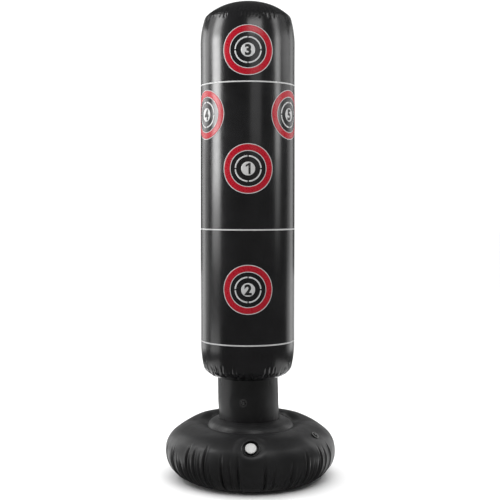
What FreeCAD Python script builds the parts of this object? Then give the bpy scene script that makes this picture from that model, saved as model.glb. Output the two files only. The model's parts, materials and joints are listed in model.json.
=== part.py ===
"""Inflatable free-standing punching bag: a water-filled base, a flexible neck and a tall air column.

Millimetres. The origin is on the floor at the middle of the base, +Z up, and the numbered targets
face -Y. Each soft panel is a thin sheet of its own; two sheets meet on flat weld lips inside the bag.
"""

import FreeCAD
import Part
import Sketcher
import math
import os
from FreeCAD import Placement, Rotation, Vector

SHEET = "Dimensions"
DRILL_LENGTH = 40
DIMENSIONS = (
    ("wall", 0.6, "thickness of the PVC sheet"),
    ("weld_lip", 8, "width of the weld lips inside each seam"),
    ("bottom_radius", 205, "flat panel that stands on the floor"),
    ("belly_radius", 288, "widest radius of the base"),
    ("belly_height", 95, "height of the widest radius"),
    ("belly_lower_arc", 95.2, "arc from the floor seam to the belly"),
    ("belly_upper_arc", 75.5, "arc just above the belly"),
    ("haunch_radius", 268, "where the upper arc of the base gets flatter"),
    ("haunch_height", 146, "height of that change"),
    ("haunch_arc", 161, "arc from there to the crest"),
    ("crest_radius", 174.5, "highest ring of the base"),
    ("crest_height", 200.5, "height of the highest ring"),
    ("crest_arc", 31, "arc that rolls down from the crest into the crease"),
    ("crease_radius", 146, "crease where the collar is welded to the base"),
    ("crease_height", 174, "height of the crease"),
    ("water_level", 90, "level of the water ballast"),
    ("moving_gap", 0.3, "clearance between pieces that move"),
    ("neck_radius", 102, "radius of the neck sleeve"),
    ("neck_bottom", 198, "weld between collar and neck"),
    ("neck_top", 340, "weld between neck and column"),
    ("collar_arc", 60, "crown of the collar"),
    ("shoulder_radius", 147, "seam between the column's bottom panel and its wall"),
    ("shoulder_height", 370, "height of that seam"),
    ("shoulder_arc", 105, "bulge of the bottom panel"),
    ("column_radius", 158, "radius of the straight column"),
    ("column_straight_from", 450, "start of the straight wall"),
    ("column_straight_to", 1455, "end of the straight wall"),
    ("lower_wall_arc", 296, "wall drawn in towards the lower seam"),
    ("upper_wall_arc", 290, "wall drawn in towards the upper seam"),
    ("crown_seam_radius", 143.4, "seam between wall and top panel"),
    ("crown_seam_height", 1546.4, "height of that seam"),
    ("crown_edge_arc", 178.8, "arc just inside the top seam"),
    ("crown_flat_radius", 95.1, "where the curve of the top changes"),
    ("crown_flat_height", 1580.9, "height of that change"),
    ("crown_flat_arc", 205.5, "arc over the middle of the top"),
    ("crown_level_radius", 8, "level spot in the middle of the top"),
    ("total_height", 1600, "floor to the middle of the top"),
    ("print_gap", 0.1, "clearance under the printed films"),
    ("print_film", 0.3, "thickness of the printed films"),
    ("stripe_width", 4, "height of each white stripe"),
    ("stripe_upper", 1319.5, "middle of the upper stripe"),
    ("stripe_middle", 842, "middle of the middle stripe"),
    ("stripe_lower", 465, "middle of the lower stripe"),
    ("target_radius", 81, "outer edge of a target"),
    ("target_outline", 2, "white line on each side of the red ring"),
    ("target_red_inner", 60.5, "inner edge of the red ring"),
    ("target_dash_outer", 45.5, "outer edge of the broken white ring"),
    ("target_dash_inner", 40.5, "inner edge of the broken white ring"),
    ("target_dash_gap", 4, "gap between the four parts of that ring"),
    ("target_disc", 25, "white disc in the middle"),
    ("port_round", 1.2, "degrees round from the front to the filling port"),
    ("port_reach", 260.6, "distance of the filling port from the axis"),
    ("port_height", 154, "height of the filling port"),
    ("port_tilt", 44, "angle of the port's axis above level"),
    ("port_lip", 34, "outer radius of the port's bead"),
    ("port_dish", 26, "radius of the dish inside the bead"),
    ("port_rim_top", 1.2, "height of the port's bead above the skin"),
    ("port_floor", 2.5, "depth of the dish"),
    ("port_bore", 13, "radius of the filling hole"),
    ("port_neck_depth", 16, "depth of the port's neck"),
    ("port_shell", 1.5, "thickness of the port's floor and neck"),
    ("gasket_height", 0.9, "thickness of the cap's gasket"),
    ("cap_radius", 18.3, "radius of the white cap"),
    ("cap_height", 3.8, "height of the cap's head"),
    ("cap_edge", 1.2, "rounding of the cap's edge"),
    ("cap_stem_radius", 12.6, "radius of the cap's stem"),
    ("cap_wall", 2, "wall of the cap's hollow stem"),
    ("cap_hollow_radius", 13.5, "radius of the shallow hollow in the top of the cap"),
    ("cap_hollow_depth", 0.7, "depth of that hollow"),
    ("valve_flange", 14, "outer radius of an air valve's flange"),
    ("flange_low", 0.1, "underside of the flange above the skin"),
    ("flange_top", 0.6, "top of the flange above the skin"),
    ("valve_hole", 8.4, "hole in the flange that the stem sinks into"),
    ("valve_stem", 5, "outer radius of the valve stem"),
    ("valve_bore", 3.3, "bore of the valve stem"),
    ("valve_rim", 6.2, "radius of the stem's rim"),
    ("rim_low", 0.4, "underside of the rim"),
    ("rim_top", 1.5, "top of the rim"),
    ("ear_thickness", 0.5, "thickness of the ear that carries the plug's strap"),
    ("ear_half_width", 2.4, "half the width of that ear"),
    ("valve_depth", 13, "how far the stem sinks into the bag"),
    ("web_depth", 7, "where the soft web meets the stem"),
    ("flap_length", 7, "length of the one-way flap"),
    ("flap_half_thickness", 0.4, "half the thickness of the flap"),
    ("plug_head", 5.6, "radius of the plug's head"),
    ("plug_low", 1.8, "underside of the plug's head"),
    ("plug_top", 3.2, "top of the plug's head"),
    ("plug_tip", 2, "how far the plug's pin goes into the stem"),
    ("plug_pin", 3, "radius of the plug's pin at its head"),
    ("plug_pin_tip", 2.5, "radius of the plug's pin at its tip"),
    ("strap_reach", 10.5, "distance from the plug to the bend of its strap"),
    ("strap_half_width", 1.8, "half the width of the strap"),
    ("strap_thickness", 0.9, "thickness of the strap"),
)
# Target number, degrees round from the front towards +X, height of its middle.
TARGETS = ((1, 0, 1040), (2, 0, 648), (3, 0, 1420), (4, -60, 1218), (5, 60, 1218))
# Valve name, degrees round from the front, distance from the axis, height, degrees above level.
VALVES = (("neck_valve", -11.3, 102.0, 266.0, 0.0), ("base_valve", 61.5, 248.5, 165.3, 50.0))


class Size:
    """A number together with the spreadsheet expression that it comes from."""

    def __init__(self, number, text):
        self.number = float(number)
        self.text = text

    def _with(self, other, sign, number):
        text = other.text if isinstance(other, Size) else f"{other}"
        return Size(number, f"({self.text} {sign} {text})")

    def __add__(self, other):
        return self._with(other, "+", self.number + number_of(other))

    def __sub__(self, other):
        return self._with(other, "-", self.number - number_of(other))

    def __mul__(self, other):
        return self._with(other, "*", self.number * number_of(other))


def number_of(value):
    return value.number if isinstance(value, Size) else float(value)


def text_of(value):
    return value.text if isinstance(value, Size) else f"{value}"


doc = FreeCAD.newDocument("standing_bag")
sheet = doc.addObject("Spreadsheet::Sheet", SHEET)
size = {}
for row, (alias, value, note) in enumerate(DIMENSIONS, 1):
    sheet.set(f"A{row}", note)
    sheet.set(f"B{row}", f"{value}")
    sheet.setAlias(f"B{row}", alias)
    size[alias] = Size(value, f"{SHEET}.{alias}")
doc.recompute()

wall = size["wall"]
lip = size["weld_lip"]
moving_gap = size["moving_gap"]


def origin_plane(body, role):
    return next(o for o in body.Origin.OriginFeatures if o.Role == role)


def bulging_arc(start, end, radius):
    """Arc from start to end, bulging to the right of the way there, or left if radius is negative."""
    chord = end - start
    half = chord.Length / 2
    across = Vector(chord.y, -chord.x, 0).normalize()
    rise = abs(radius) - math.sqrt(radius * radius - half * half)
    middle = (start + end) * 0.5 + across * math.copysign(rise, radius)
    return Part.Arc(start, middle, end)


def end_at(sketch, piece, point):
    """Which end of a sketch piece, 1 or 2, lies at the point."""
    return 1 if sketch.getPoint(piece, 1).distanceToPoint(point) < 1e-5 else 2


def pin_down(sketch, piece, end, corner):
    """Holds one sketch point at (across, up), bound to the spreadsheet."""
    for kind, axis, value in (("DistanceX", -2, corner[0]), ("DistanceY", -1, corner[1])):
        if number_of(value) == 0:
            sketch.addConstraint(Sketcher.Constraint("PointOnObject", piece, end, axis))
            continue
        index = sketch.addConstraint(
            Sketcher.Constraint(kind, -1, 1, piece, end, number_of(value))
        )
        sketch.setExpression(f"Constraints[{index}]", text_of(value))


def outline(body, name, corners, plane="XZ_Plane"):
    """A closed sketch through corners of (across, up), or (across, up, radius) after an arc."""
    sketch = body.newObject("Sketcher::SketchObject", name)
    sketch.AttachmentSupport = (origin_plane(body, plane), "")
    sketch.MapMode = "FlatFace"
    points = [Vector(number_of(c[0]), number_of(c[1]), 0) for c in corners]
    for index, corner in enumerate(corners):
        start, end = points[index - 1], points[index]
        if len(corner) == 3:
            sketch.addGeometry(bulging_arc(start, end, number_of(corner[2])))
        else:
            sketch.addGeometry(Part.LineSegment(start, end))
    for index, corner in enumerate(corners):
        here = points[index]
        following = (index + 1) % len(corners)
        end = end_at(sketch, index, here)
        start = end_at(sketch, following, here)
        sketch.addConstraint(Sketcher.Constraint("Coincident", index, end, following, start))
        pin_down(sketch, index, end, corner)
        if len(corner) == 3:
            radius = corner[2]
            row = sketch.addConstraint(
                Sketcher.Constraint("Radius", index, abs(number_of(radius)))
            )
            sign = "" if number_of(radius) > 0 else "-"
            sketch.setExpression(f"Constraints[{row}]", f"{sign}{text_of(radius)}")
    return sketch


def new_body(label):
    body = doc.addObject("PartDesign::Body", label)
    body.Label = label
    return body


def turned(label, corners):
    """A body turned about Z from its outline in the XZ plane."""
    body = new_body(label)
    sketch = outline(body, f"{label}_outline", corners)
    turn = body.newObject("PartDesign::Revolution", f"{label}_turn")
    turn.Profile = sketch
    turn.ReferenceAxis = (sketch, ["V_Axis"])
    turn.Angle = 360
    sketch.Visibility = False
    doc.recompute()
    return body


def padded(body, name, corners, height, lift):
    """Adds a flat pad to a body, drawn in the XY plane and lifted along Z."""
    sketch = outline(body, f"{name}_outline", corners, "XY_Plane")
    sketch.AttachmentOffset = Placement(Vector(0, 0, number_of(lift)), Rotation())
    sketch.setExpression("AttachmentOffset.Base.z", text_of(lift))
    pad = body.newObject("PartDesign::Pad", name)
    pad.Profile = sketch
    pad.setExpression("Length", text_of(height))
    doc.recompute()
    return body


def frame_on_skin(degrees_round, reach, height, degrees_up):
    """Placement whose Z leaves the skin square and whose Y climbs it."""
    around, up = math.radians(degrees_round), math.radians(degrees_up)
    level = Vector(math.sin(around), -math.cos(around), 0)
    out = level * math.cos(up) + Vector(0, 0, math.sin(up))
    climb = Vector(0, 0, math.cos(up)) - level * math.sin(up)
    turn = Rotation(climb.cross(out), climb, out, "ZYX")
    return Placement(level * reach + Vector(0, 0, height), turn)


def drilled(body, label, radius, place):
    """The body with a round hole through its skin at a place."""
    drill = doc.addObject("Part::Cylinder", f"{label}_drill")
    drill.setExpression("Radius", text_of(radius))
    drill.Height = DRILL_LENGTH
    drill.Placement = place.multiply(Placement(Vector(0, 0, -DRILL_LENGTH / 2), Rotation()))
    cut = doc.addObject("Part::Cut", f"{label}_cut")
    cut.Base = body
    cut.Tool = drill
    doc.recompute()
    return cut


# ---- Base: bottom panel, domed top panel, chamber floor and water ----


def base_bottom_panel():
    radius = size["bottom_radius"]
    return turned("base_bottom_panel", [(0, 0), (radius, 0), (radius, wall), (0, wall)])


def base_top_skin(port_place, valve_place):
    """Domed skin from the floor seam over the belly and the crest, down into the crease."""
    bottom, crease = size["bottom_radius"], size["crease_radius"]
    foot, dip = wall * 2, size["crease_height"]
    crest = size["crest_radius"]
    skin = turned(
        "base_top_skin_sheet",
        [
            (bottom - lip, wall),
            (bottom, wall),
            (size["belly_radius"], size["belly_height"], size["belly_lower_arc"]),
            (size["haunch_radius"], size["haunch_height"], size["belly_upper_arc"]),
            (crest, size["crest_height"], size["haunch_arc"]),
            (crease, dip, size["crest_arc"]),
            (crease - lip, dip),
            (crease - lip, dip - wall),
            (crease + wall * 1.3, dip - wall),
            (crest, size["crest_height"] - wall, (size["crest_arc"] - wall) * -1),
            (
                size["haunch_radius"] - wall * 0.77,
                size["haunch_height"] - wall * 0.64,
                (size["haunch_arc"] - wall) * -1,
            ),
            (size["belly_radius"] - wall, size["belly_height"], (size["belly_upper_arc"] - wall) * -1),
            (bottom, foot, (size["belly_lower_arc"] - wall) * -1),
            (bottom - lip, foot),
        ],
    )
    shell = size["port_dish"] + size["port_shell"]
    holed = drilled(skin, "port", shell + moving_gap, port_place)
    holed = drilled(holed, "base_valve", size["valve_hole"] + 1, valve_place)
    holed.Label = "base_top_skin"
    return holed


def chamber_floor():
    """Disc under the neck that keeps the water out of the air chamber."""
    top = size["crease_height"] - wall
    edge = size["crease_radius"] - 2
    return turned("chamber_floor", [(0, top - wall), (edge, top - wall), (edge, top), (0, top)])


def water_ballast():
    floor = wall * 2 + moving_gap
    foot = size["bottom_radius"] - 1
    side = size["belly_radius"] - wall - moving_gap * 2
    arc = size["belly_lower_arc"] - wall - moving_gap
    level = size["water_level"]
    return turned("water_ballast", [(0, floor), (foot, floor), (side, level, arc), (0, level)])


# ---- Neck: collar and sleeve ----


def neck_collar():
    """Crowned ring that joins the base to the foot of the neck."""
    edge = size["crease_radius"] - 1
    dip, top, neck = size["crease_height"], size["neck_bottom"], size["neck_radius"]
    return turned(
        "neck_collar",
        [
            (edge - lip, dip),
            (edge, dip),
            (neck, top, size["collar_arc"]),
            (neck - lip, top),
            (neck - lip, top - wall),
            (neck - 0.3, top - wall),
            (edge - wall * 1.8, dip + wall, (size["collar_arc"] - wall) * -1),
            (edge - lip, dip + wall),
        ],
    )


def neck_sleeve(valve_place):
    radius, foot, top = size["neck_radius"], size["neck_bottom"], size["neck_top"]
    sleeve = turned(
        "neck_sleeve_sheet",
        [
            (radius - lip, foot),
            (radius, foot),
            (radius, top),
            (radius - lip, top),
            (radius - lip, top - wall),
            (radius - wall, top - wall),
            (radius - wall, foot + wall),
            (radius - lip, foot + wall),
        ],
    )
    holed = drilled(sleeve, "neck_valve", size["valve_hole"] + 1, valve_place)
    holed.Label = "neck_sleeve"
    return holed


# ---- Column: bottom panel, wall and top panel ----


def column_bottom_panel():
    neck, top = size["neck_radius"], size["neck_top"]
    seam, height = size["shoulder_radius"], size["shoulder_height"]
    return turned(
        "column_bottom_panel",
        [
            (neck - lip, top),
            (neck, top),
            (seam, height, size["shoulder_arc"]),
            (seam - lip, height),
            (seam - lip, height - wall),
            (seam - wall * 1.2, height - wall),
            (neck - 0.3, top + wall, (size["shoulder_arc"] - wall) * -1),
            (neck - lip, top + wall),
        ],
    )


def column_wall():
    foot, head = size["shoulder_radius"], size["crown_seam_radius"]
    low, high = size["shoulder_height"], size["crown_seam_height"]
    radius = size["column_radius"]
    straight_from, straight_to = size["column_straight_from"], size["column_straight_to"]
    return turned(
        "column_wall",
        [
            (foot - lip, low),
            (foot, low),
            (radius, straight_from, size["lower_wall_arc"]),
            (radius, straight_to),
            (head, high, size["upper_wall_arc"]),
            (head - lip, high),
            (head - lip, high - wall),
            (head - wall, high - wall),
            (radius - wall, straight_to, (size["upper_wall_arc"] - wall) * -1),
            (radius - wall, straight_from),
            (foot - wall, low + wall, (size["lower_wall_arc"] - wall) * -1),
            (foot - lip, low + wall),
        ],
    )


def column_top_panel():
    seam, height = size["crown_seam_radius"], size["crown_seam_height"]
    flat, bend = size["crown_flat_radius"], size["crown_flat_height"]
    top, level = size["total_height"], size["crown_level_radius"]
    return turned(
        "column_top_panel",
        [
            (seam - lip, height),
            (seam, height),
            (flat, bend, size["crown_edge_arc"]),
            (level, top, size["crown_flat_arc"]),
            (0, top),
            (0, top - wall),
            (level, top - wall),
            (flat - wall * 0.3, bend - wall * 0.95, (size["crown_flat_arc"] - wall) * -1),
            (seam - wall * 1.4, height + wall, (size["crown_edge_arc"] - wall) * -1),
            (seam - lip, height + wall),
        ],
    )


# ---- Prints on the column wall ----


def stripe(label):
    inner = size["column_radius"] + size["print_gap"]
    outer = inner + size["print_film"]
    low = size[label] - size["stripe_width"] * 0.5
    high = size[label] + size["stripe_width"] * 0.5
    return turned(label, [(inner, low), (outer, low), (outer, high), (inner, high)])


def film_edge(away):
    """Line that follows the column wall at a distance: its foot, its straight part and its arc."""
    radius = number_of(size["column_radius"]) + away
    foot = Vector(radius, number_of(size["column_straight_from"]), 0)
    straight_end = Vector(radius, number_of(size["column_straight_to"]), 0)
    head = number_of(size["crown_seam_radius"]) + away
    seam = Vector(head, number_of(size["crown_seam_height"]), 0)
    curve = bulging_arc(straight_end, seam, number_of(size["upper_wall_arc"]) + away)
    return foot, seam, [Part.LineSegment(foot, straight_end).toShape(), curve.toShape()]


def film():
    """Thin sleeve just outside the column wall, up to the seam of the top panel."""
    gap = number_of(size["print_gap"])
    inner_foot, inner_head, inner = film_edge(gap)
    outer_foot, outer_head, outer = film_edge(gap + number_of(size["print_film"]))
    foot = Part.LineSegment(inner_foot, outer_foot).toShape()
    head = Part.LineSegment(inner_head, outer_head).toShape()
    face = Part.Face(Part.Wire([foot, *outer, head, *reversed(inner)]))
    face.rotate(Vector(), Vector(1, 0, 0), 90)
    return face.revolve(Vector(), Vector(0, 0, 1), 360)


def ring_punch(outer, inner):
    """A punch for a ring, along -Y from the axis."""
    long = number_of(size["column_radius"]) * 2
    disc = Part.makeCylinder(outer, long, Vector(), Vector(0, -1, 0))
    if inner == 0:
        return disc
    return disc.cut(Part.makeCylinder(inner, long, Vector(), Vector(0, -1, 0)))


def dashed_punch():
    """The broken ring: a ring with a gap at the top, the bottom and each side."""
    outer = number_of(size["target_dash_outer"])
    gap = number_of(size["target_dash_gap"])
    long = number_of(size["column_radius"]) * 2
    punch = ring_punch(outer, number_of(size["target_dash_inner"]))
    upright = Part.makeBox(gap, long, outer * 3, Vector(-gap / 2, -long, -outer * 1.5))
    level = Part.makeBox(outer * 3, long, gap, Vector(-outer * 1.5, -long, -gap / 2))
    return punch.cut(upright).cut(level)


def printed(label, punches, degrees_round, height):
    """Film pieces left where punches go through the film, at one place on the column."""
    place = Placement(Vector(0, 0, height), Rotation(Vector(0, 0, 1), degrees_round))
    whole = film()
    solids = []
    for punch in punches:
        punch.Placement = place
        solids += whole.common(punch).Solids
    print_part = doc.addObject("Part::Feature", label)
    print_part.Shape = Part.makeCompound(solids)
    print_part.Label = label
    return print_part


def target(number, degrees_round, height):
    """Red ring and white marks of one numbered target."""
    outer, line = number_of(size["target_radius"]), number_of(size["target_outline"])
    red_inner = number_of(size["target_red_inner"])
    red = [ring_punch(outer - line, red_inner)]
    white = [
        ring_punch(outer, outer - line),
        ring_punch(red_inner, red_inner - line),
        dashed_punch(),
        ring_punch(number_of(size["target_disc"]), 0),
    ]
    return [
        printed(f"target_{number}_red_ring", red, degrees_round, height),
        printed(f"target_{number}_white_marks", white, degrees_round, height),
    ]


# ---- Filling port: socket, gasket and screw cap ----


def placed(body, place):
    body.Placement = place
    return body


def block(half_width, near, far):
    """Corners of a rectangle about the Y axis, from near to far along it."""
    return [
        (half_width * -1, near),
        (half_width, near),
        (half_width, far),
        (half_width * -1, far),
    ]


def port_socket(place):
    """Moulded dish with a round bead, a level floor and a short neck into the base."""
    bore, neck = size["port_bore"], size["port_bore"] + size["port_shell"]
    depth, floor = size["port_neck_depth"] * -1, size["port_floor"] * -1
    under = floor - size["port_shell"]
    edge, dish = size["port_lip"], size["port_dish"]
    shell = dish + size["port_shell"]
    rim_top = size["port_rim_top"]
    rim_low = rim_top - size["port_shell"] * 0.5
    bead = (edge - dish) * 0.501
    corners = [
        (bore, depth),
        (neck, depth),
        (neck, under),
        (shell, under),
        (shell, rim_low),
        (edge, rim_low),
        (edge, rim_top),
        (dish, rim_top, bead),
        (dish, floor),
        (bore, floor),
    ]
    return placed(turned("port_socket", corners), place)


def port_gasket(place):
    low = size["port_floor"] * -1 + moving_gap
    high = low + size["gasket_height"]
    inner, outer = size["port_bore"] + moving_gap, size["cap_radius"] - size["cap_edge"]
    corners = [(inner, low), (outer, low), (outer, high), (inner, high)]
    return placed(turned("port_gasket", corners), place)


def port_cap(place):
    """Screw cap: a low round head with a shallow hollow, on a hollow stem."""
    foot = size["port_floor"] * -1 + size["gasket_height"] + moving_gap * 2
    head = foot + size["cap_height"]
    radius, stem, edge = size["cap_radius"], size["cap_stem_radius"], size["cap_edge"]
    end = size["port_neck_depth"] * -1 + moving_gap
    hollow = stem - size["cap_wall"]
    dent, depth = size["cap_hollow_radius"], size["cap_hollow_depth"]
    corners = [
        (0, foot),
        (hollow, foot),
        (hollow, end),
        (stem, end),
        (stem, foot),
        (radius, foot),
        (radius, head - edge),
        (radius - edge, head, edge),
        (dent + depth, head),
        (dent, head - depth),
        (0, head - depth),
    ]
    return placed(turned("port_cap", corners), place)


# ---- Air valves: flange, web, stem, flap and plug ----


def valve_flange(name, place):
    hole, edge = size["valve_hole"], size["valve_flange"]
    low, top = size["flange_low"], size["flange_top"]
    corners = [(hole, low), (edge, low), (edge, top), (hole, top)]
    return placed(turned(f"{name}_flange", corners), place)


def valve_web(name, place):
    """Soft cone that lets the stem sink in or stand out."""
    hole, stem = size["valve_hole"] - moving_gap, size["valve_stem"] + moving_gap
    low, high = size["web_depth"] * -1, size["flange_top"]
    corners = [(stem, low), (stem + wall, low), (hole, high), (hole - wall, high)]
    return placed(turned(f"{name}_web", corners), place)


def valve_stem(name, place):
    """Tube with a rim, and an ear that carries the strap of the plug."""
    bore, tube, rim = size["valve_bore"], size["valve_stem"], size["valve_rim"]
    end, low, top = size["valve_depth"] * -1, size["rim_low"], size["rim_top"]
    corners = [(bore, end), (tube, end), (tube, low), (rim, low), (rim, top), (bore, top)]
    body = turned(f"{name}_stem", corners)
    ear = block(size["ear_half_width"], (size["strap_reach"] - 1) * -1, tube * -1)
    padded(body, f"{name}_ear", ear, size["ear_thickness"], top - size["ear_thickness"])
    return placed(body, place)


def valve_flap(name, place):
    """Flat one-way flap that closes the inner end of the stem."""
    body = new_body(f"{name}_flap")
    thick = size["flap_half_thickness"]
    leaf = block(size["valve_stem"] - moving_gap, thick * -1, thick)
    low = (size["valve_depth"] + size["flap_length"]) * -1
    padded(body, f"{name}_flap_leaf", leaf, size["flap_length"], low)
    return placed(body, place)


def valve_plug(name, place):
    """Plug with a tapered pin and the strap that it swings on."""
    head, low, top = size["plug_head"], size["plug_low"], size["plug_top"]
    tip = size["plug_tip"] * -1
    corners = [
        (0, tip),
        (size["plug_pin_tip"], tip),
        (size["plug_pin"], low),
        (head, low),
        (head, top),
        (0, top),
    ]
    body = turned(f"{name}_plug", corners)
    strap = block(size["strap_half_width"], size["strap_reach"] * -1, size["plug_pin"] * -1)
    padded(body, f"{name}_strap", strap, size["strap_thickness"], low)
    return placed(body, place)


def valve(name, place):
    makers = (valve_flange, valve_web, valve_stem, valve_flap, valve_plug)
    return [make(name, place) for make in makers]


# ---- Assembly ----


def build():
    port_where = [number_of(size[f"port_{key}"]) for key in ("round", "reach", "height", "tilt")]
    port_place = frame_on_skin(*port_where)
    valve_places = {name: frame_on_skin(*where) for name, *where in VALVES}
    pieces = [
        base_bottom_panel(),
        base_top_skin(port_place, valve_places["base_valve"]),
        chamber_floor(),
        water_ballast(),
        neck_collar(),
        neck_sleeve(valve_places["neck_valve"]),
        column_bottom_panel(),
        column_wall(),
        column_top_panel(),
        port_socket(port_place),
        port_gasket(port_place),
        port_cap(port_place),
    ]
    pieces += [stripe(label) for label in ("stripe_upper", "stripe_middle", "stripe_lower")]
    for number, degrees_round, height in TARGETS:
        pieces += target(number, degrees_round, height)
    for name, place in valve_places.items():
        pieces += valve(name, place)
    return pieces


def check(pieces):
    doc.recompute()
    for item in doc.Objects:
        if "Invalid" in item.State or "Error" in item.State:
            raise RuntimeError(f"{item.Label} did not build: {item.State}")
    for piece in pieces:
        shape = piece.Shape
        if shape.isNull() or not shape.isValid() or not shape.Solids:
            raise RuntimeError(f"{piece.Label} has no valid solid")


def export(pieces):
    os.makedirs("parts", exist_ok=True)
    for piece in pieces:
        piece.Shape.exportStep(f"parts/{piece.Label}.step")
        print(f"{piece.Label:26s} {len(piece.Shape.Solids):3d} solids {piece.Shape.Volume:14.1f} mm3")


pieces = build()
check(pieces)
export(pieces)
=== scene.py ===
"""Looks of the inflatable punching bag: glossy PVC skins with welds and puckers, printed targets,
a screw-capped filling port and two air valves, on a pale studio floor.

Metres. An angle "turn" goes round from the front (-Y) towards +X. The shape of a skin is a profile
of (radius, height) points, turned about Z and pushed along its normals by folds and welds.
"""

import json
import math

import bmesh
import bpy
import numpy as np
from mathutils import Matrix, Vector


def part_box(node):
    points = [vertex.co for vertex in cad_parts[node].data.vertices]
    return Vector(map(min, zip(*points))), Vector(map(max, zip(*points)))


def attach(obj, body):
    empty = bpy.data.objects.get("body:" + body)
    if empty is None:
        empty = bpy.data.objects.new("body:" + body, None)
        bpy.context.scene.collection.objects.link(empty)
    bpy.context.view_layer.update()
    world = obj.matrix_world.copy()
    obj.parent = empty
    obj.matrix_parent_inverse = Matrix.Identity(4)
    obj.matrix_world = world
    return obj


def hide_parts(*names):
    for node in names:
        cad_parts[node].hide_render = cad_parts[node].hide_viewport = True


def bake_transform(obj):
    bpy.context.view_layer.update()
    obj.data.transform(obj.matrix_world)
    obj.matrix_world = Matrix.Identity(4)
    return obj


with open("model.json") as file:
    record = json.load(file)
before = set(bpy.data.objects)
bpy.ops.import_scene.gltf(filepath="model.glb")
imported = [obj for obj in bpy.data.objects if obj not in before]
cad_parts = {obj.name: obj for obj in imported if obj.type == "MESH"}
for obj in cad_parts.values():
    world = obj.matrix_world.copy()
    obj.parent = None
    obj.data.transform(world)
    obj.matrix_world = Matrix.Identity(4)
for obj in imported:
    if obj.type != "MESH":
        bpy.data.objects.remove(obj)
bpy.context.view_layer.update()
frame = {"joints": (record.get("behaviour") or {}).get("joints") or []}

MM = 0.001


# ---- Sizes read from the frame ----


def half_width(node):
    low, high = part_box(node)
    return (high[0] - low[0]) / 2


def low_z(node):
    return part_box(node)[0][2]


def high_z(node):
    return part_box(node)[1][2]


FLOOR = low_z("base_bottom_panel")
COLUMN_R = half_width("column_wall")
WALL_LOW, WALL_HIGH = low_z("column_wall"), high_z("column_wall")
TOP = high_z("column_top_panel")
LOWER_SEAM_R = half_width("column_bottom_panel")
UPPER_SEAM_R = half_width("column_top_panel")
NECK_R = half_width("neck_sleeve")
NECK_LOW, NECK_HIGH = low_z("neck_sleeve"), high_z("neck_sleeve")
NECK_PIVOT = next(j["pos_m"][2] for j in frame["joints"] if j["name"] == "neck_pitch")
CREASE_R = half_width("neck_collar") + 1 * MM
CREASE_Z = low_z("neck_collar")
CREST_Z = high_z("base_top_skin")
BELLY_R = half_width("base_top_skin")
BOTTOM_R = half_width("base_bottom_panel")

STRAIGHT_FROM, STRAIGHT_TO = 0.450, 1.455
BELLY_Z = 0.095
HAUNCH = (0.268, 0.146)
CREST_R = 0.1745
SHOULDER = (0.0951, 1.5809)
BELLY_ARC, HAUNCH_ARC = 95.2 * MM, 75.5 * MM
# The bag leans and bulges a little to the side: at a height (m) its middle is moved along X (mm).
SWAY = (
    (0, 5.0),
    (0.174, 4.8),
    (0.198, 1.0),
    (0.25, -2.8),
    (0.335, -4.5),
    (0.37, -5),
    (1.5, -4.9),
    (1.6, -2.8),
)

# ---- Places on the skins ----

HINGE_BELOW, HINGE_ABOVE_SKIN = 10.5 * MM, 1.65 * MM


def place_of(joint):
    """A frame whose Z is the joint's axis and whose Y climbs the skin, at the joint's own point."""
    out = Vector(joint["axis"])
    climb = (Vector((0, 0, 1)) - out * out.z).normalized()
    turn = Matrix((climb.cross(out), climb, out)).transposed().to_4x4()
    return Matrix.Translation(joint["pos_m"]) @ turn


def valve_place(name):
    """The valve's frame at the middle of its flange, from the plug's hinge beside it."""
    hinge = JOINTS[f"{name}_plug_swing"]
    pull = JOINTS[f"{name}_pull"]
    out = Vector(pull["axis"])
    across = Vector(hinge["axis"])
    climb = out.cross(across)
    turn = Matrix((across, climb, out)).transposed().to_4x4()
    middle = Vector(hinge["pos_m"]) + climb * HINGE_BELOW - out * HINGE_ABOVE_SKIN
    return Matrix.Translation(middle) @ turn


JOINTS = {joint["name"]: joint for joint in frame["joints"]}
PORT_PLACE = place_of(JOINTS["cap_turn"])
PORT_LIP, PORT_DISH, PORT_BORE = 34 * MM, 26 * MM, 13 * MM
CAP_R = 18.3 * MM
PORT_FLOOR = -3.5 * MM
NECK_VALVE_PLACE, BASE_VALVE_PLACE = valve_place("neck_valve"), valve_place("base_valve")
VALVE_HOLE = 10.5 * MM

# ---- Profiles ----


def arc_points(start, end, radius, step=1.5 * MM):
    """Points after start up to end on an arc bulging right of the way there, or left if negative."""
    start, end = np.array(start), np.array(end)
    chord = end - start
    half = np.linalg.norm(chord) / 2
    right = np.array([chord[1], -chord[0]]) / (2 * half)
    centre = (start + end) / 2 - math.copysign(1, radius) * right * math.sqrt(radius**2 - half**2)
    first = math.atan2(*(start - centre)[::-1])
    last = math.atan2(*(end - centre)[::-1])
    turn = (last - first + math.pi) % (2 * math.pi) - math.pi
    steps = max(2, math.ceil(abs(turn * radius) / step))
    angles = first + turn * np.arange(1, steps + 1) / steps
    return [centre + abs(radius) * np.array([math.cos(a), math.sin(a)]) for a in angles]


def distances(line):
    """How far along the line each of its points is."""
    return np.concatenate([[0], np.cumsum(np.linalg.norm(np.diff(line, axis=0), axis=1))])


def profile(corners, spacing):
    """Evenly spaced (radius, height) points through corners; a third value is the arc's radius."""
    points = [np.array(corners[0][:2], float)]
    for corner in corners[1:]:
        if len(corner) == 3:
            points += arc_points(points[-1], corner[:2], corner[2])
        else:
            points.append(np.array(corner, float))
    points = np.array(points)
    along = distances(points)
    steps = np.linspace(0, along[-1], max(2, round(along[-1] / spacing)) + 1)
    return np.stack([np.interp(steps, along, points[:, k]) for k in (0, 1)], axis=1)


# ---- Puckers and welds ----


def smooth(x):
    x = np.clip(x, 0, 1)
    return x * x * (3 - 2 * x)


def round_gap(turn, at):
    """Signed angle from at to turn, the short way round."""
    return (turn - at + np.pi) % (2 * np.pi) - np.pi


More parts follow.
